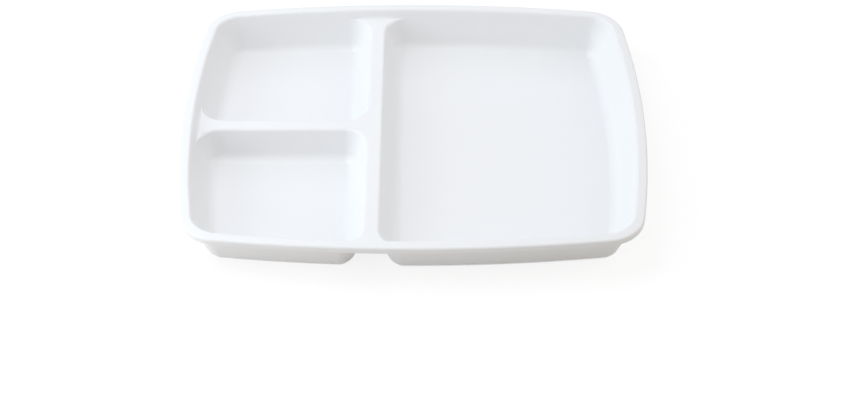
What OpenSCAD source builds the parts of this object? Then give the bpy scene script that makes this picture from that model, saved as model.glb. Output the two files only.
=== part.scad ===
// Divided compartment plate: one large well and two small ones under a flat rim.
// Frame: +Z up, origin on the table under the plate's middle, front edge towards -Y.
// Every outline is a closed chain of arcs and straight sides that run into each other,
// so a wall is one section lofted round the chain.

/* [Plate] */
// Width between the bowed short sides
plate_w = 272; // [250:1:310]
// Depth between the bowed long sides
plate_d = 220; // [195:1:250]
// Height from the table to the top of the rim
plate_h = 28; // [24:0.5:32]
// Radius of the bowed front and back sides, from above
long_side_r = 905; // [600:5:3000]
// Radius of the bowed left and right sides, from above
short_side_r = 550; // [300:5:2000]
// Radius of the four outer corners, from above
corner_r = 22.5; // [21:0.5:32]

/* [Rim] */
// Width of the rim, from its outer edge to the wall
rim_w = 6.1; // [5:0.1:7]
// Height of the rim's outer lip
rim_t = 4.7; // [4:0.1:6]
// How far the rim's top falls towards its outer edge
rim_fall = 0.5; // [0:0.1:1]
// Rounding of the lip's upper edge
rim_edge_r = 1.4; // [0.4:0.1:1.6]
// Rounding of the lip's lower edge
rim_under_r = 0.9; // [0.3:0.1:1.2]
// Rounding where the rim turns down into the wells
rim_inner_r = 1.8; // [0.5:0.1:2.2]
// Rounding between the lip's underside and the wall
rim_root_r = 1.2; // [0.3:0.1:1.6]

/* [Walls] */
// Thickness of the walls
wall_t = 2.4; // [1.8:0.1:3]
// Thickness of the floors
floor_t = 3; // [2:0.1:4.5]
// Slope from upright of the walls that face the front or the back, in degrees
wall_draft = 17; // [8:0.5:20]
// Slope from upright of the walls that face the left or the right, in degrees
side_draft = 22.5; // [8:0.5:25]
// Radius between wall and floor, inside a well
floor_r = 6.5; // [3:0.5:8]
// Radius between wall and underside, outside a well
foot_r = 8.8; // [2:0.2:9]

/* [Dividers] */
// Width of a divider's top, between its edges
divider_w = 8.7; // [7:0.1:14]
// How far the dividers' tops lie below the rim
divider_drop = 5.8; // [5.5:0.1:9]
// Thickness of a divider's top
divider_t = 2.4; // [1.8:0.1:3]
// Where the long divider's centre line lies, across the plate
divider_x = -23; // [-50:1:0]
// Where the cross divider's centre line lies, along the plate
divider_y = 0; // [-15:0.5:15]
// Rounding of a divider's top edges
divider_edge_r = 2; // [0.5:0.1:2.2]
// Radius of the sweep from a divider's top up the rim's wall
divider_end_r = 2.5; // [0.5:0.1:3]
// Radius of a well's corners beside a divider, from above
well_corner_r = 13.8; // [12.8:0.2:20]

/* [Hidden] */

plate_colour = [0.95, 0.96, 0.97];

// Steps along each kind of curve
side_steps = 8;
corner_steps = 11;
fillet_steps = 6;
rim_steps = 4;
edge_steps = 4;
across_steps = 8;

// Heights
divider_z = plate_h - divider_drop;
web_z = divider_z - divider_t;
lip_z = plate_h - rim_t;

// A wall moves inwards by its slope for each unit of depth; round a corner the slope runs
// from that of the one wall to that of the other
front_slope = tan(wall_draft);
side_slope = tan(side_draft);
most_slope = max(front_slope, side_slope);
function slope(way) = front_slope * way.y ^ 2 + side_slope * way.x ^ 2;
// Thickness of a wall cut level, and the reach of a fillet between it and a level face per radius
function level_t(s) = wall_t * sqrt(1 + s ^ 2);
function reach_share(s) = sqrt(1 + s ^ 2) - s;

// Where the rim's sloping top would meet the front wall if the edge between them were sharp
rim_lean = atan(rim_fall / rim_w);
crest_share =
    (tan(rim_lean) / cos(wall_draft) + 1 / cos(rim_lean)) / (1 + front_slope * tan(rim_lean)) - 1;
rim_z = plate_h + crest_share * rim_inner_r;

// Inner wall at the divider tops, inwards from the plate's outer edge
function well_inset(s) = rim_w + (rim_z - divider_z) * s;
// Inner wall at a height, inwards from its place at the divider tops
function wall_in(z, s) = (divider_z - z) * s;

// Middles of the side arcs and of the outer corners
half_w = plate_w / 2;
half_d = plate_d / 2;
back_mid = [0, half_d - long_side_r];
right_mid = [half_w - short_side_r, 0];
function bearing(from, to) = atan2(to.y - from.y, to.x - from.x);
function turned(angle) = [cos(angle), sin(angle)];
function mirror_x(p) = [-p.x, p.y];
function mirror_y(p) = [p.x, -p.y];
function reversed(list) = [for (i = [len(list) - 1 : -1 : 0]) list[i]];
// The point at one distance from p and another from q, on the left of the way from p to q
function meeting(p, p_reach, q, q_reach) =
    let (gap = norm(q - p), ahead = (q - p) / gap, left = [-ahead.y, ahead.x])
    let (run = (gap ^ 2 + p_reach ^ 2 - q_reach ^ 2) / (2 * gap))
    p + run * ahead + sqrt(p_reach ^ 2 - run ^ 2) * left;
corner_mid = meeting(right_mid, short_side_r - corner_r, back_mid, long_side_r - corner_r);
side_end = bearing(right_mid, corner_mid);
back_end = bearing(back_mid, corner_mid);

// Middles of well corners that run into the back side or the left side, at the divider tops
long_well_r = long_side_r - well_inset(front_slope);
short_well_r = short_side_r - well_inset(side_slope);
function back_corner(x) = [x, back_mid.y + sqrt((long_well_r - well_corner_r) ^ 2 - x ^ 2)];
function left_corner(y) = [-right_mid.x - sqrt((short_well_r - well_corner_r) ^ 2 - y ^ 2), y];

// Edges of the dividers' tops
large_x = divider_x + divider_w / 2;
small_x = divider_x - divider_w / 2;
rear_y = divider_w / 2 + divider_y;
front_y = divider_w / 2 - divider_y;

// An arc is its middle, radius, first and last bearing
plate_arcs = [
    [right_mid, short_side_r, -side_end, side_end],
    [corner_mid, corner_r, side_end, back_end],
    [back_mid, long_side_r, back_end, 180 - back_end],
    [mirror_x(corner_mid), corner_r, 180 - back_end, 180 - side_end],
    [-right_mid, short_side_r, 180 - side_end, 180 + side_end],
    [-corner_mid, corner_r, 180 + side_end, 180 + back_end],
    [-back_mid, long_side_r, 180 + back_end, 360 - back_end],
    [mirror_y(corner_mid), corner_r, 360 - back_end, 360 - side_end]
];

// The wells' outlines at the divider tops: the plate's arcs, marked as lying inside the rim,
// and arcs of their own beside the dividers
large_mid = back_corner(large_x + well_corner_r);
large_turn = bearing(back_mid, large_mid);
large_rear_arc = [large_mid, well_corner_r, large_turn, 180];
large_front_arc = [mirror_y(large_mid), well_corner_r, 180, 360 - large_turn];
large_arcs = [
    [right_mid, short_side_r, -side_end, side_end, true],
    [corner_mid, corner_r, side_end, back_end, true],
    [back_mid, long_side_r, back_end, large_turn, true],
    large_rear_arc,
    large_front_arc,
    [-back_mid, long_side_r, 360 - large_turn, 360 - back_end, true],
    [mirror_y(corner_mid), corner_r, 360 - back_end, 360 - side_end, true]
];

// A small well behind a cross divider whose edge lies at edge_y
inner_mid = back_corner(small_x - well_corner_r);
inner_turn = bearing(back_mid, inner_mid);
inner_arc = [inner_mid, well_corner_r, 0, inner_turn];
function fork_arc(edge_y) =
    [[small_x - well_corner_r, edge_y + well_corner_r], well_corner_r, 270, 360];
function side_arc(edge_y) =
    let (mid = left_corner(edge_y + well_corner_r)) [mid, well_corner_r, bearing(-right_mid, mid), 270];
function small_arcs(edge_y) = [
    [back_mid, long_side_r, inner_turn, 180 - back_end, true],
    [mirror_x(corner_mid), corner_r, 180 - back_end, 180 - side_end, true],
    [-right_mid, short_side_r, 180 - side_end, side_arc(edge_y)[2], true],
    side_arc(edge_y),
    fork_arc(edge_y),
    inner_arc
];

// A path of [inwards, up, radius] with its corners rounded
function corner_arc(a, b, c, r, steps) =
    let (p = [b.x, b.y], u = [a.x, a.y] - p, v = [c.x, c.y] - p)
    let (ahead = u / norm(u), behind = v / norm(v), half = acos(ahead * behind) / 2)
    let (mid = p + (ahead + behind) / norm(ahead + behind) * r / sin(half))
    let (first = bearing(mid, p + ahead * r / tan(half)), last = bearing(mid, p + behind * r / tan(half)))
    let (turn = (last - first + 540) % 360 - 180)
    [for (i = [0 : steps]) mid + r * turned(first + turn * i / steps)];
function rounded(path, steps) =
    [for (i = [0 : len(path) - 1])
        let (b = path[i], a = path[(i + len(path) - 1) % len(path)], c = path[(i + 1) % len(path)])
        each (b[2] > 0 ? corner_arc(a, b, c, b[2], steps) : [[b.x, b.y]])];

// Places along an arc or round a chain of arcs: a point and the way inwards from it.
// Two arcs that meet share one place, and a straight side runs between two that don't.
function place(arc, angle) =
    let (out = turned(angle), inset = arc[4] == true ? well_inset(slope(out)) : 0)
    [arc[0] + (arc[1] - inset) * out, -out];
function places(arc, steps) = [for (i = [0 : steps]) place(arc, arc[2] + (arc[3] - arc[2]) * i / steps)];
function chain(arcs) =
    [for (k = [0 : len(arcs) - 1])
        let (arc = arcs[k], next = arcs[(k + 1) % len(arcs)])
        let (steps = arc[1] > corner_r ? side_steps : corner_steps)
        let (joined = norm(place(arc, arc[3])[0] - place(next, next[2])[0]) < wall_t)
        for (i = [0 : joined ? steps - 1 : steps]) places(arc, steps)[i]];
// Rings along the points of a section, which is given for each place of the chain
function rings(chain, sections) =
    [for (i = [0 : len(sections[0]) - 1])
        [for (j = [0 : len(chain) - 1])
            let (e = chain[j], q = sections[j][i]) [each e[0] + q.x * e[1], q.y]]];

// A solid through rings of equal length, closed by flat ends or on itself
module loft(rings, looped = false) {
    count = len(rings[0]);
    last = len(rings) - 1;
    points = [for (ring = rings) each ring];
    middles = [for (ring = [rings[0], rings[last]]) [for (p = ring) 1] * ring / count];
    sides = [for (k = [0 : looped ? last : last - 1], j = [0 : count - 1])
        let (a = k * count + j, b = k * count + (j + 1) % count)
        let (c = (b + count) % len(points), d = (a + count) % len(points))
        each [[a, d, c], [a, c, b]]];
    ends = [for (j = [0 : count - 1])
        let (next = (j + 1) % count)
        each [[len(points), j, next], [len(points) + 1, last * count + next, last * count + j]]];
    polyhedron(looped ? points : concat(points, middles), looped ? sides : concat(sides, ends));
}

// Rim: a lip round the plate with the upper band of the wall below it
function rim_section(s) = rounded([
    [0, lip_z, rim_under_r],
    [0, rim_z - rim_fall, rim_edge_r],
    [rim_w, rim_z, rim_inner_r],
    [well_inset(s) + wall_in(web_z, s), web_z, 0],
    [well_inset(s) + wall_in(web_z, s) - level_t(s), web_z, 0],
    [well_inset(s) + wall_in(lip_z, s) - level_t(s), lip_z, rim_root_r]
], rim_steps);
module rim() {
    rim_chain = chain(plate_arcs);
    color(plate_colour)
        loft(rings(rim_chain, [for (e = rim_chain) rim_section(slope(e[1]))]), looped = true);
}

// Wells: a wall of even thickness with a rounded foot, round a flat floor.
// The walls that lean most leave the least room for the fillet round the floor.
least_corner_r = min(corner_r - well_inset(most_slope), well_corner_r);
floor_room = least_corner_r - wall_in(floor_t, most_slope) - wall_t / 2;
floor_fillet = min(floor_r, floor_room / reach_share(most_slope));
foot_fillet = min(foot_r, floor_fillet + wall_t);
// The section runs from under the floor up the outside and down the inside to the floor
function well_section(s) =
    let (inner_top = [wall_in(web_z, s), web_z], outer_top = [inner_top.x - level_t(s), web_z])
    concat(
        corner_arc([half_w, 0], [wall_in(0, s) - level_t(s), 0], outer_top, foot_fillet, fillet_steps),
        [outer_top, inner_top],
        corner_arc(inner_top, [wall_in(floor_t, s), floor_t], [half_w, floor_t], floor_fillet, fillet_steps));
module well(arcs) {
    well_chain = chain(arcs);
    color(plate_colour) loft(rings(well_chain, [for (e = well_chain) well_section(slope(e[1]))]));
}
module large_well() {
    well(large_arcs);
}
module rear_small_well() {
    well(small_arcs(rear_y));
}
module front_small_well() {
    mirror([0, 1, 0]) well(small_arcs(front_y));
}

// Dividers: bars with rounded top edges, whose flared ends run out along the rim's wall.
// The rounding needs a ledge between a well's edge and the rim's wall, and fades without it.
function ledge(p) =
    min(long_well_r - norm(p - back_mid), long_well_r - norm(p + back_mid),
        short_well_r - norm(p - right_mid), short_well_r - norm(p + right_mid));
function rounding_share(e) =
    max(0, min(1, ledge(e[0]) / (2 * reach_share(slope(e[1])) * divider_edge_r)));
function mirrored(list) = [for (e = list) [mirror_y(e[0]), mirror_y(e[1])]];
// A well's edge at one place, from the foot of the bar up the wall and round the top edge
function edge_line(e) =
    let (s = slope(e[1]), mid = [-reach_share(s) * divider_edge_r, divider_z - divider_edge_r])
    let (start = mid + divider_edge_r * turned(atan(s)))
    [for (i = [-1 : edge_steps])
        let (sharp = start + ([0, divider_z] - start) * i / edge_steps)
        let (round = mid + divider_edge_r * turned(atan(s) + (90 - atan(s)) * i / edge_steps))
        let (q = i < 0 ? [wall_in(web_z, s), web_z] : sharp + (round - sharp) * rounding_share(e))
        [each e[0] + q.x * e[1], q.y]];
// A bar's end: the middle of the side that it runs into, its radius there, the flared corners
// and the slope of the wall
rear_end = [back_mid, long_well_r, [large_mid, inner_mid], front_slope];
front_end = [-back_mid, long_well_r, [mirror_y(large_mid), mirror_y(inner_mid)], front_slope];
left_end = [-right_mid, short_well_r, [side_arc(rear_y)[0], mirror_y(side_arc(front_y)[0])], side_slope];
// The top sweeps up the wall there, by a radius for which the ledge at p has room
function room(p, end) =
    min([plate_w, for (c = end[2])
        let (far = norm(c - end[0]), angle = bearing(end[0], p) - bearing(end[0], c))
        let (aside = far * sin(angle))
        if (abs(aside) < well_corner_r)
            end[1] - far * cos(angle) - sqrt(well_corner_r ^ 2 - aside ^ 2)]);
function sweep_r(p, end) = max(0, min(divider_end_r, room(p, end) / (2 * reach_share(end[3]))));
function sweep_z(p, end) =
    let (r = sweep_r(p, end), into = reach_share(end[3]) * r - end[1] + norm(p - end[0]))
    divider_z + (into > 0 ? r - sqrt(max(0, r ^ 2 - into ^ 2)) : 0);
// Points across a bar's top and its underside; those of a bar's last ring lie on the rim's wall
function flat(p) = [p.x, p.y];
function on_wall(p, end, z) =
    [each end[0] + (p - end[0]) / norm(p - end[0]) * (end[1] - wall_in(z, end[3])), z];
function across(a, b) = [for (i = [1 : across_steps - 1]) flat(a + (b - a) * i / across_steps)];
function top_points(a, b, ends, here) =
    [for (p = across(a, b))
        is_undef(here) ? [each p, max([for (end = ends) sweep_z(p, end)])]
            : on_wall(p, here, divider_z + (1 - sin(atan(here[3]))) * sweep_r(p, here))];
function under_points(a, b, here) =
    [for (p = across(a, b)) is_undef(here) ? [each p, web_z] : on_wall(p, here, web_z)];
function bar_ring(right, left, ends, here) =
    let (up = edge_line(right), down = reversed(edge_line(left)), last = len(up) - 1)
    concat(up, top_points(up[last], down[0], ends, here), down, under_points(down[last], up[0], here));
// The ends lie at the bar's first and last ring, or at the last one only
module bar(rights, lefts, ends) {
    last = len(rights) - 1;
    first_end = len(ends) > 1 ? ends[0] : undef;
    last_end = ends[len(ends) - 1];
    color(plate_colour)
        loft([for (k = [0 : last])
            bar_ring(rights[k], lefts[k], ends, k == 0 ? first_end : k == last ? last_end : undef)]);
}
// The long divider carries the fork that the cross divider runs into
module long_divider() {
    fork = concat(reversed(places(fork_arc(rear_y), corner_steps)),
        mirrored(places(fork_arc(front_y), corner_steps)));
    flare = reversed(places(inner_arc, corner_steps));
    lefts = concat(flare, fork, mirrored(reversed(flare)));
    rights = concat(
        places(large_rear_arc, corner_steps),
        [for (e = fork) [[large_x, e[0].y], [1, 0]]],
        places(large_front_arc, corner_steps));
    bar(rights, lefts, [rear_end, front_end]);
}
module cross_divider() {
    fork_x = small_x - well_corner_r;
    rights = concat([[[fork_x, -front_y], [0, -1]]],
        mirrored(reversed(places(side_arc(front_y), corner_steps))));
    lefts = concat([[[fork_x, rear_y], [0, 1]]], reversed(places(side_arc(rear_y), corner_steps)));
    bar(rights, lefts, [left_end]);
}

rim();
large_well();
rear_small_well();
front_small_well();
long_divider();
cross_divider();
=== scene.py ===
import math

import bmesh
import bpy
import numpy as np
from mathutils import Matrix, Vector


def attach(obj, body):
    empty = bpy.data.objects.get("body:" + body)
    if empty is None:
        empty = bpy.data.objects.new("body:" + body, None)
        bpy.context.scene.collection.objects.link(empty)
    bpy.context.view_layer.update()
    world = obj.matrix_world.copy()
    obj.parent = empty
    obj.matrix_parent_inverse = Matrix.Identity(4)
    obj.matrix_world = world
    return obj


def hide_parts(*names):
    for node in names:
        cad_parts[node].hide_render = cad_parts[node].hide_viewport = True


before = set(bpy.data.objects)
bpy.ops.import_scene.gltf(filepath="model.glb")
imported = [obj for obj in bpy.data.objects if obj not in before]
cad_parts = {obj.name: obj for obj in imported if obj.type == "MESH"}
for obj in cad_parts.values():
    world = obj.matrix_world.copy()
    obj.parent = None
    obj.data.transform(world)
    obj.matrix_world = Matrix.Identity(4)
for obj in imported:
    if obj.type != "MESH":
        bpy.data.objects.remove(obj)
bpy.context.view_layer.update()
print("frame loaded with nodes", sorted(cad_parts))

# Shapes are drawn in millimetres and turned into metres when a mesh is made
metresPerMm = 0.001
plate = {"width": 272, "depth": 220, "height": 28,
         "longSideRadius": 905, "shortSideRadius": 550, "cornerRadius": 22.5}
walls = {"thickness": 2.4, "floorThickness": 3, "draft": 17, "sideDraft": 22.5, "floorRadius": 6.5,
         "footRadius": 8.8, "floorSteps": 14}
rim = {"width": 6.1, "lip": 4.7, "fall": 0.5, "edgeRadius": 1.4, "underRadius": 0.9,
       "innerRadius": 1.8, "rootRadius": 1.2, "steps": 9}
dividers = {"width": 8.7, "drop": 5.8, "thickness": 2.4, "x": -23, "edgeRadius": 2,
            "endRadius": 2.5, "wellCorner": 13.8, "edgeSteps": 8, "acrossSteps": 26}
mesh = {"sideSteps": 30, "cornerSteps": 26, "straightSteps": 12, "holdShare": 0.012, "hold": 0.14,
        "sharpAngle": 38, "weld": 1e-6}

longRadius, shortRadius = plate["longSideRadius"], plate["shortSideRadius"]
cornerRadius, wellCorner = plate["cornerRadius"], dividers["wellCorner"]
sideSteps, cornerSteps = mesh["sideSteps"], mesh["cornerSteps"]


def turned(angle):
    return np.array([math.cos(math.radians(angle)), math.sin(math.radians(angle))])


def bearing(start, end):
    return math.degrees(math.atan2(end[1] - start[1], end[0] - start[0]))


def unit(vector):
    return vector / np.linalg.norm(vector)


# Point at one distance from p and another from q, on the left of the way from p to q
def meetingPoint(p, pReach, q, qReach):
    gap = np.linalg.norm(q - p)
    ahead = (q - p) / gap
    run = (gap ** 2 + pReach ** 2 - qReach ** 2) / (2 * gap)
    return p + run * ahead + math.sqrt(pReach ** 2 - run ** 2) * np.array([-ahead[1], ahead[0]])


# Walls that face the front or back and those that face the sides have slopes of their own
frontSlope, sideSlope = (math.tan(math.radians(walls[k])) for k in ("draft", "sideDraft"))
topZ = plate["height"] - dividers["drop"]    # the dividers' tops
webZ = topZ - dividers["thickness"]          # their undersides, where wells and rim part
lipZ = plate["height"] - rim["lip"]

# The rim's sharp inner edge stands above the plate's height, and its rounding cuts it down to that
leanSlope = rim["fall"] / rim["width"]
frontLength, leanLength = math.hypot(1, frontSlope), math.hypot(1, leanSlope)
crestShare = (leanSlope * frontLength + leanLength) / (1 + frontSlope * leanSlope) - 1
rimZ = plate["height"] + crestShare * rim["innerRadius"]


# Round a corner the slope runs from that of one wall to that of the other
def slopeOf(way):
    return frontSlope * way[1] ** 2 + sideSlope * way[0] ** 2


# Reach of a fillet between a wall and a level face, per unit radius
def reachOf(slope):
    return math.hypot(1, slope) - slope


# Thickness of a sloping wall, measured level
def levelThickness(slope):
    return walls["thickness"] * math.hypot(1, slope)


# Inner wall at the dividers' tops, inwards from the rim's outer edge
def wellInset(slope):
    return rim["width"] + (rimZ - topZ) * slope


# Inner wall at a height, inwards from its place at the dividers' tops
def wallIn(z, slope):
    return (topZ - z) * slope


# Plate outline: bowed sides about these middles, run into each other by the corners
backMid = np.array([0, plate["depth"] / 2 - longRadius])
rightMid = np.array([plate["width"] / 2 - shortRadius, 0])
cornerMid = meetingPoint(rightMid, shortRadius - cornerRadius, backMid, longRadius - cornerRadius)
sideEnd, backEnd = bearing(rightMid, cornerMid), bearing(backMid, cornerMid)
longWellRadius = longRadius - wellInset(frontSlope)
shortWellRadius = shortRadius - wellInset(sideSlope)


# Shares along a side, with one more close to each end so that the shading holds there
def shares(steps):
    even = np.linspace(0, 1, steps + 1)
    return np.concatenate([[0, mesh["holdShare"]], even[1:-1], [1 - mesh["holdShare"], 1]])


# A place is a point of an outline and the way into the well from it
def arcPlaces(middle, radius, first, last, steps):
    outward = np.array([turned(first + (last - first) * s) for s in shares(steps)])
    return np.hstack([middle + radius * outward, -outward])


# Places of a well's outline inside the rim
def insidePlaces(middle, radius, first, last, steps):
    places = arcPlaces(middle, radius, first, last, steps)
    for place in places:
        place[:2] += wellInset(slopeOf(place[2:])) * place[2:]
    return places


def linePlaces(start, end, inward):
    start, end = np.array(start), np.array(end)
    return np.array([[*(start + (end - start) * s), *inward] for s in shares(mesh["straightSteps"])])


def mirroredY(places):
    return places * np.array([1, -1, 1, -1])


def mirroredX(places):
    return places * np.array([-1, 1, -1, 1])


# One closed loop out of strips that each start where the one before ends
def loopOf(*strips):
    return np.concatenate([strip[:-1] for strip in strips])


# Middle of the round by which a well's corner beside the long divider meets the back wall
def backCorner(x):
    return np.array([x, backMid[1] + math.sqrt((longWellRadius - wellCorner) ** 2 - x ** 2)])


# Edges of the dividers' tops and the middles of the wells' corners, for the rear half of the plate
largeX = dividers["x"] + dividers["width"] / 2
smallX = dividers["x"] - dividers["width"] / 2
edgeY = dividers["width"] / 2
forkX, forkY = smallX - wellCorner, edgeY + wellCorner
largeMid, innerMid = backCorner(largeX + wellCorner), backCorner(forkX)
sideReach = math.sqrt((shortWellRadius - wellCorner) ** 2 - forkY ** 2)
sideMid = np.array([-rightMid[0] - sideReach, forkY])
largeTurn, innerTurn = bearing(backMid, largeMid), bearing(backMid, innerMid)
sideTurn = bearing(-rightMid, sideMid) % 360

# Strips of the wells' outlines at the dividers' tops
largeFlare = arcPlaces(largeMid, wellCorner, largeTurn, 180, cornerSteps)
innerFlare = arcPlaces(innerMid, wellCorner, innerTurn, 0, cornerSteps)
forkBend = arcPlaces(np.array([forkX, forkY]), wellCorner, 360, 270, cornerSteps)
sideFlare = arcPlaces(sideMid, wellCorner, 270, sideTurn, cornerSteps)
largeSide = linePlaces((largeX, largeMid[1]), (largeX, forkY), (1, 0))
innerSide = linePlaces((smallX, innerMid[1]), (smallX, forkY), (-1, 0))
crossSide = linePlaces((forkX, edgeY), (sideMid[0], edgeY), (0, 1))

# The large well's side follows the other side of the long divider station by station
forkFacing = np.array([[largeX, y, 1, 0] for y in forkBend[:, 1]])
rearLeft = np.concatenate([innerFlare[:-1], innerSide[:-1], forkBend])
rearRight = np.concatenate([largeFlare[:-1], largeSide[:-1], forkFacing])
longRight = np.concatenate([rearRight, mirroredY(rearRight)[::-1]])
longLeft = np.concatenate([rearLeft, mirroredY(rearLeft)[::-1]])
crossLeft = np.concatenate([crossSide[:-1], sideFlare])

rimLoop = loopOf(
    arcPlaces(rightMid, shortRadius, -sideEnd, sideEnd, sideSteps),
    arcPlaces(cornerMid, cornerRadius, sideEnd, backEnd, cornerSteps),
    arcPlaces(backMid, longRadius, backEnd, 180 - backEnd, 2 * sideSteps),
    mirroredX(arcPlaces(cornerMid, cornerRadius, backEnd, sideEnd, cornerSteps)),
    arcPlaces(-rightMid, shortRadius, 180 - sideEnd, 180 + sideEnd, sideSteps),
    arcPlaces(-cornerMid, cornerRadius, 180 + sideEnd, 180 + backEnd, cornerSteps),
    arcPlaces(-backMid, longRadius, 180 + backEnd, 360 - backEnd, 2 * sideSteps),
    mirroredY(arcPlaces(cornerMid, cornerRadius, backEnd, sideEnd, cornerSteps)))

largeBack = insidePlaces(backMid, longRadius, backEnd, largeTurn, sideSteps)
largeCorner = insidePlaces(cornerMid, cornerRadius, sideEnd, backEnd, cornerSteps)
largeLoop = loopOf(
    insidePlaces(rightMid, shortRadius, -sideEnd, sideEnd, sideSteps), largeCorner, largeBack,
    longRight, mirroredY(largeBack)[::-1], mirroredY(largeCorner)[::-1])
rearLoop = loopOf(
    insidePlaces(backMid, longRadius, innerTurn, 180 - backEnd, sideSteps),
    mirroredX(largeCorner)[::-1],
    insidePlaces(-rightMid, shortRadius, 180 - sideEnd, sideTurn, sideSteps),
    crossLeft[::-1], rearLeft[::-1])
frontLoop = mirroredY(rearLoop)[::-1]


# Shader sockets with arithmetic: an expression on values adds its Math nodes
class Flow:
    def __init__(self, tree, socket=None):
        self.tree, self.socket = tree, socket

    def node(self, kind, settings=None, sockets=None, output=0):
        made = self.tree.nodes.new(kind)
        for name, value in (settings or {}).items():
            setattr(made, name, value)
        for name, value in (sockets or {}).items():
            if isinstance(value, Flow):
                self.tree.links.new(value.socket, made.inputs[name])
            else:
                made.inputs[name].default_value = value
        return Flow(self.tree, made.outputs[output]) if len(made.outputs) else made

    def maths(self, operation, first, second):
        return self.node("ShaderNodeMath", {"operation": operation}, {0: first, 1: second})

    def __add__(self, other):
        return self.maths("ADD", self, other)

    def __sub__(self, other):
        return self.maths("SUBTRACT", self, other)

    def __rsub__(self, other):
        return self.maths("SUBTRACT", other, self)

    def __mul__(self, other):
        return self.maths("MULTIPLY", self, other)

    __radd__, __rmul__ = __add__, __mul__


def newMaterial(name):
    material = bpy.data.materials.new(name)
    material.use_nodes = True
    material.node_tree.nodes.clear()
    return material, Flow(material.node_tree)


# Moulded resin: faint clouds in the colour, patches of gloss, a wavy skin and a fine grain on it
resinLook = {"paleColour": (0.868, 0.876, 0.886, 1), "deepColour": (0.848, 0.856, 0.866, 1),
             "roughness": 0.40, "roughnessSpread": 0.10, "ior": 1.5,
             "noiseRoughness": 0.55, "noiseMean": 0.5,
             "cloud": {"scale": 14, "detail": 3},
             "patch": {"scale": 55, "detail": 4},
             "wave": {"scale": 40, "detail": 1, "height": 0.0002, "strength": 0.05},
             "grain": {"scale": 1300, "detail": 2, "height": 0.00002, "strength": 0.12}}


def mouldedResin():
    material, flow = newMaterial("moulded_white_resin")
    where = flow.node("ShaderNodeTexCoord", output="Object")

    def noise(kind):
        return flow.node("ShaderNodeTexNoise", {"noise_dimensions": "3D"},
                         {"Vector": where, "Scale": resinLook[kind]["scale"],
                          "Detail": resinLook[kind]["detail"],
                          "Roughness": resinLook["noiseRoughness"]}, output="Fac")

    def bump(kind, **below):
        return flow.node("ShaderNodeBump", {}, {"Strength": resinLook[kind]["strength"],
                         "Distance": resinLook[kind]["height"], "Height": noise(kind), **below})

    # Inputs 6 and 7 of a Mix node are its two colours, and output 2 is their mix
    colour = flow.node("ShaderNodeMix", {"data_type": "RGBA"},
                       {0: noise("cloud"), 6: resinLook["deepColour"], 7: resinLook["paleColour"]},
                       output=2)
    patchiness = noise("patch") - resinLook["noiseMean"]
    rough = resinLook["roughness"] + patchiness * resinLook["roughnessSpread"]
    skin = bump("grain", Normal=bump("wave"))
    shader = flow.node("ShaderNodeBsdfPrincipled", {}, {"Base Color": colour, "Roughness": rough,
                       "Normal": skin, "IOR": resinLook["ior"]})
    flow.node("ShaderNodeOutputMaterial", {}, {"Surface": shader})
    return material


resin = mouldedResin()


# Corner b of a section, rounded on the way from a to c, with a held point on each side
def roundedCorner(a, b, c, radius, steps):
    a, b, c = (np.array(p[:2], float) for p in (a, b, c))
    ahead, behind = unit(a - b), unit(c - b)
    half = math.acos(np.dot(ahead, behind)) / 2
    middle = b + unit(ahead + behind) * radius / math.sin(half)
    tangent = radius / math.tan(half)
    first = bearing(middle, b + ahead * tangent)
    turn = (bearing(middle, b + behind * tangent) - first + 540) % 360 - 180    # the short way round
    arc = [middle + radius * turned(first + turn * i / steps) for i in range(steps + 1)]
    return [b + ahead * (tangent + mesh["hold"]), *arc, b + behind * (tangent + mesh["hold"])]


# Rings along the points of a section, which depends on the slope of the wall at each place
def ringsOf(loop, sectionOf):
    sections = np.array([sectionOf(slopeOf(place[2:])) for place in loop])
    across = loop[:, None, :2] + sections[:, :, :1] * loop[:, None, 2:]
    return np.concatenate([across, sections[:, :, 1:]], axis=2).transpose(1, 0, 2)


# A closed solid through rings of points, ended by flat fans or closed on itself
def loftPiece(name, node, rings, looped=False):
    rings = np.array(rings) * metresPerMm
    count, length = rings.shape[:2]
    points = [tuple(p) for p in rings.reshape(-1, 3)]
    faces = []
    for k in range(count if looped else count - 1):
        here, there = k * length, ((k + 1) % count) * length
        for j in range(length):
            after = (j + 1) % length
            faces.append((here + j, here + after, there + after, there + j))
    if not looped:
        for k in (0, count - 1):
            fan, here = len(points), k * length
            points.append(tuple(rings[k].mean(0)))
            faces += [(fan, here + j, here + (j + 1) % length) for j in range(length)]
    data = bpy.data.meshes.new(name)
    data.from_pydata(points, [], faces)
    work = bmesh.new()
    work.from_mesh(data)
    bmesh.ops.remove_doubles(work, verts=work.verts, dist=mesh["weld"])
    bmesh.ops.dissolve_degenerate(work, edges=work.edges, dist=mesh["weld"])
    bmesh.ops.recalc_face_normals(work, faces=work.faces)
    if work.calc_volume(signed=True) < 0:
        bmesh.ops.reverse_faces(work, faces=work.faces)
    work.to_mesh(data)
    work.free()
    data.polygons.foreach_set("use_smooth", [True] * len(data.polygons))
    data.set_sharp_from_angle(angle=math.radians(mesh["sharpAngle"]))
    data.materials.append(resin)
    piece = bpy.data.objects.new(name, data)
    bpy.context.scene.collection.objects.link(piece)
    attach(piece, "root")
    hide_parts(node)
    print("made", name, len(data.vertices), "points")


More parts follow.
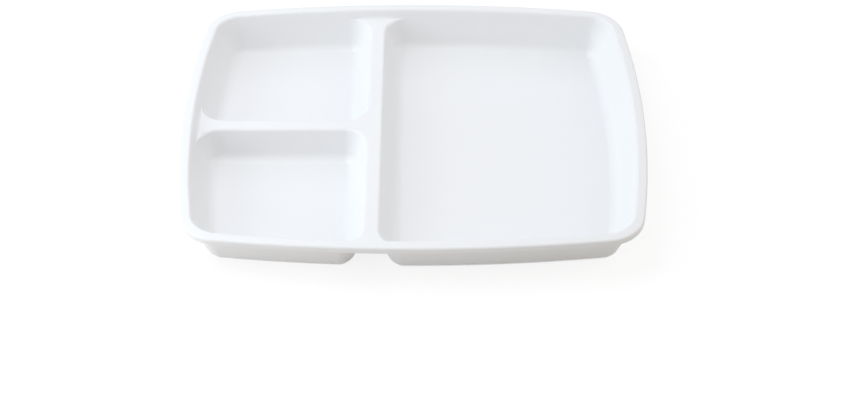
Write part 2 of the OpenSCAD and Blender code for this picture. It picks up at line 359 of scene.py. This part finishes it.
# Rim: a lip round the plate with the upper band of the wall below it
def rimSection(slope):
    wallInset = wellInset(slope) + wallIn(webZ, slope)
    rootInset = wellInset(slope) + wallIn(lipZ, slope) - levelThickness(slope)
    path = [(0, lipZ, rim["underRadius"]),
            (0, rimZ - rim["fall"], rim["edgeRadius"]),
            (rim["width"], rimZ, rim["innerRadius"]),
            (wallInset, webZ, 0),
            (wallInset - levelThickness(slope), webZ, 0),
            (rootInset, lipZ, rim["rootRadius"])]
    section = []
    for i, corner in enumerate(path):
        before, after = path[i - 1], path[(i + 1) % len(path)]
        if corner[2] > 0:
            section += roundedCorner(before, corner, after, corner[2], rim["steps"])
        else:
            section.append(np.array(corner[:2]))
    return section


loftPiece("plate_rim", "rim", ringsOf(rimLoop, rimSection), looped=True)


# Wells: from under the floor up the outside, over and down the inside to the floor
def wellSection(slope):
    floorZ, farIn, steps = walls["floorThickness"], plate["width"], walls["floorSteps"]
    innerTop = (wallIn(webZ, slope), webZ)
    outerTop = (innerTop[0] - levelThickness(slope), webZ)
    outerFoot = (wallIn(0, slope) - levelThickness(slope), 0)
    innerFoot = (wallIn(floorZ, slope), floorZ)
    return [*roundedCorner((farIn, 0), outerFoot, outerTop, walls["footRadius"], steps),
            outerTop, innerTop,
            *roundedCorner(innerTop, innerFoot, (farIn, floorZ), walls["floorRadius"], steps)]


for name, node, loop in (("large_well_tub", "large_well", largeLoop),
                         ("rear_small_well_tub", "rear_small_well", rearLoop),
                         ("front_small_well_tub", "front_small_well", frontLoop)):
    loftPiece(name, node, ringsOf(loop, wellSection))

# Ends of the dividers: the bowed side that each runs into, and the wells' corners that flare out to it
flipY = np.array([1, -1])
rearEnd = {"middle": backMid, "radius": longWellRadius, "slope": frontSlope,
           "corners": (largeMid, innerMid)}
frontEnd = {**rearEnd, "middle": -backMid, "corners": (largeMid * flipY, innerMid * flipY)}
leftEnd = {"middle": -rightMid, "radius": shortWellRadius, "slope": sideSlope,
           "corners": (sideMid, sideMid * flipY)}


# Distance of p from the rim's wall, at the level of the dividers' tops
def wallGap(p, end):
    return end["radius"] - np.linalg.norm(p - end["middle"])


def nearestEnd(p):
    return min((rearEnd, frontEnd, leftEnd), key=lambda end: wallGap(p, end))


# Width of the ledge between the rim's wall and the well's edge, straight in from the wall at p
def ledgeWidth(p, end):
    width = plate["width"]
    for corner in end["corners"]:
        angle = math.radians(bearing(end["middle"], p) - bearing(end["middle"], corner))
        far = np.linalg.norm(corner - end["middle"])
        aside = far * math.sin(angle)
        if abs(aside) < wellCorner and math.cos(angle) > 0:
            edge = far * math.cos(angle) + math.sqrt(wellCorner ** 2 - aside ** 2)
            width = min(width, end["radius"] - edge)
    return max(width, 0)


def endRadius(p, end):
    return min(dividers["endRadius"], ledgeWidth(p, end) / (2 * reachOf(end["slope"])))


# A divider's top is flat and sweeps up where it runs into the rim's wall
def topHeight(p):
    end = nearestEnd(p)
    radius = endRadius(p, end)
    into = reachOf(end["slope"]) * radius - wallGap(p, end)
    return topZ + (radius - math.sqrt(max(radius ** 2 - into ** 2, 0)) if into > 0 else 0)


# Point of the rim's wall at a height, straight out from p
def wallPoint(p, z, end):
    reach = end["radius"] - wallIn(z, end["slope"])
    return np.array([*(end["middle"] + unit(p - end["middle"]) * reach), z])


# A divider's wall and rounded edge at one place of a well's outline, from its foot to its top
def edgeLine(place):
    ledge = max(wallGap(place[:2], nearestEnd(place[:2])), 0)
    slope = slopeOf(place[2:])
    draft = math.degrees(math.atan(slope))
    share = min(1, ledge / (2 * reachOf(slope) * dividers["edgeRadius"]))
    radius = share * dividers["edgeRadius"]
    middle = np.array([-reachOf(slope) * radius, topZ - radius])
    steps = dividers["edgeSteps"]
    arc = [middle + radius * turned(draft + (90 - draft) * i / steps) for i in range(steps + 1)]
    below = arc[0] + share * mesh["hold"] * turned(draft - 90)
    flat = np.array([middle[0] - share * mesh["hold"], topZ])
    section = [(wallIn(webZ, slope), webZ), below, *arc, flat]
    return np.array([[*(place[:2] + q[0] * place[2:]), q[1]] for q in section])


# Ring round a divider at one station; the ring at an end lies on the rim's wall
def dividerRing(right, left, end=None):
    up, down = edgeLine(right), edgeLine(left)[::-1]
    steps = dividers["acrossSteps"]
    top, under = [], []
    for i in range(1, steps):
        p = up[-1] + (down[0] - up[-1]) * i / steps
        q = down[-1] + (up[0] - down[-1]) * i / steps
        if end is None:
            p[2] = topHeight(p[:2])
        else:
            rise = (1 - math.sin(math.atan(end["slope"]))) * endRadius(p[:2], end)
            p, q = wallPoint(p[:2], topZ + rise, end), wallPoint(q[:2], webZ, end)
        top.append(p)
        under.append(q)
    return np.concatenate([up, top, down, under])


def dividerPiece(name, node, rights, lefts, firstEnd, lastEnd):
    last = len(rights) - 1
    ends = {0: firstEnd, last: lastEnd}
    loftPiece(name, node, [dividerRing(rights[k], lefts[k], ends.get(k)) for k in range(last + 1)])


dividerPiece("long_divider_bar", "long_divider", longRight, longLeft, rearEnd, frontEnd)
dividerPiece("cross_divider_bar", "cross_divider", mirroredY(crossLeft), crossLeft, None, leftEnd)

# Floor: pale, and white to the camera where the plate's faint shadow doesn't fall; close to the plate
# its glow is darkened by occlusion, a painted contact shadow
floorLook = {"size": 9, "below": 0.0002, "colour": (0.73, 0.71, 0.66, 1),
             "seenColour": (0.2, 0.2, 0.2, 1), "glow": 0.83, "paintedShadeReach": 0.0012, "paintedShadeSamples": 16}


# Rays that show the background itself: the camera's, and those that gloss and glass send on
def seenRays(flow):
    return sum(flow.node("ShaderNodeLightPath", output=kind)
               for kind in ("Is Camera Ray", "Is Glossy Ray", "Is Transmission Ray"))


def paleFloor():
    material, flow = newMaterial("pale_floor")
    matt = flow.node("ShaderNodeBsdfDiffuse", {}, {"Color": floorLook["colour"]})
    shaded = flow.node("ShaderNodeBsdfDiffuse", {}, {"Color": floorLook["seenColour"]})
    # Occlusion sets the glow's colour, darker near the plate's foot: a painted contact shadow
    clear = flow.node("ShaderNodeAmbientOcclusion", {"samples": floorLook["paintedShadeSamples"]},
                      {"Distance": floorLook["paintedShadeReach"]})
    glow = flow.node("ShaderNodeEmission", {}, {"Color": clear, "Strength": floorLook["glow"]})
    white = flow.node("ShaderNodeAddShader", {}, {0: shaded, 1: glow})
    mixed = flow.node("ShaderNodeMixShader", {}, {0: seenRays(flow), 1: matt, 2: white})
    flow.node("ShaderNodeOutputMaterial", {}, {"Surface": mixed})
    return material


def makeFloor():
    reach, z = floorLook["size"] / 2, -floorLook["below"]
    corners = [(-reach, -reach, z), (reach, -reach, z), (reach, reach, z), (-reach, reach, z)]
    data = bpy.data.meshes.new("floor")
    data.from_pydata(corners, [], [(0, 1, 2, 3)])
    data.materials.append(paleFloor())
    floor = bpy.data.objects.new("floor", data)
    bpy.context.scene.collection.objects.link(floor)
    print("floor laid", floorLook["size"], "m across")


makeFloor()

# Light: a pale dome and soft boxes, each aimed at the plate
dome = {"colour": (1, 0.93, 0.898, 1), "strength": 0.472}
softBoxes = {
    "window": {"place": (-1.36, 0, 0.634), "size": 1.0, "power": 6.64, "colour": (0.834, 0.979, 1)},
    "above": {"place": (-0.338, 0, 0.725), "size": 0.5, "power": 2.16, "colour": (0.863, 0.933, 1)},
    "right": {"place": (1.229, 0, 0.86), "size": 1.0, "power": 4.7, "colour": (0.969, 1, 0.963)},
    "back": {"place": (0, 1.06, 1.06), "size": 1.0, "power": 2.8, "colour": (0.749, 0.811, 1)},
    "front": {"place": (-0.363, -0.327, 0.104), "size": 0.25, "power": 0.42, "colour": (0.882, 0.9, 1)},
}


def makeLights():
    world = bpy.data.worlds.new("dome")
    world.use_nodes = True
    world.node_tree.nodes.clear()
    flow = Flow(world.node_tree)
    plain = flow.node("ShaderNodeBackground", {},
                      {"Color": dome["colour"], "Strength": dome["strength"]})
    white = flow.node("ShaderNodeBackground", {}, {"Color": (1, 1, 1, 1), "Strength": 1})
    mixed = flow.node("ShaderNodeMixShader", {}, {0: seenRays(flow), 1: plain, 2: white})
    flow.node("ShaderNodeOutputWorld", {}, {"Surface": mixed})
    bpy.context.scene.world = world
    for name, box in softBoxes.items():
        lamp = bpy.data.lights.new("soft_box_" + name, "AREA")
        lamp.shape, lamp.size = "SQUARE", box["size"]
        lamp.energy, lamp.color = box["power"], box["colour"]
        holder = bpy.data.objects.new("soft_box_" + name, lamp)
        holder.location = box["place"]
        holder.rotation_euler = (-Vector(box["place"])).to_track_quat("-Z", "Y").to_euler()
        bpy.context.scene.collection.objects.link(holder)
    print("lit by a dome and", len(softBoxes), "soft boxes")


makeLights()

# Camera at the photograph's viewing angle; lengths in millimetres, the focal length in pixels
view = {"azimuth": 0.221, "elevation": 43.355, "roll": -0.089, "distance": 1034.4,
        "aim": (8.11, -75.34, 28), "focal": 1850, "imageWidth": 854, "sensor": 36,
        "clipMetres": (0.01, 50)}


def makeCamera():
    az, el, roll = (math.radians(view[k]) for k in ("azimuth", "elevation", "roll"))
    back = Vector((math.sin(az) * math.cos(el), -math.cos(az) * math.cos(el), math.sin(el)))
    side = Vector((math.cos(az), math.sin(az), 0))
    up = back.cross(side)
    right = side * math.cos(roll) + up * math.sin(roll)
    over = up * math.cos(roll) - side * math.sin(roll)
    data = bpy.data.cameras.new("camera")
    data.sensor_fit, data.sensor_width = "HORIZONTAL", view["sensor"]
    data.lens = view["sensor"] * view["focal"] / view["imageWidth"]
    data.clip_start, data.clip_end = view["clipMetres"]
    camera = bpy.data.objects.new("camera", data)
    place = (Vector(view["aim"]) + back * view["distance"]) * metresPerMm
    turn = Matrix((right, over, back)).transposed().to_4x4()
    camera.matrix_world = Matrix.Translation(place) @ turn
    bpy.context.scene.collection.objects.link(camera)
    bpy.context.scene.camera = camera
    print("camera looks down by", view["elevation"], "degrees")


makeCamera()
bpy.context.scene.view_settings.view_transform = "Standard"
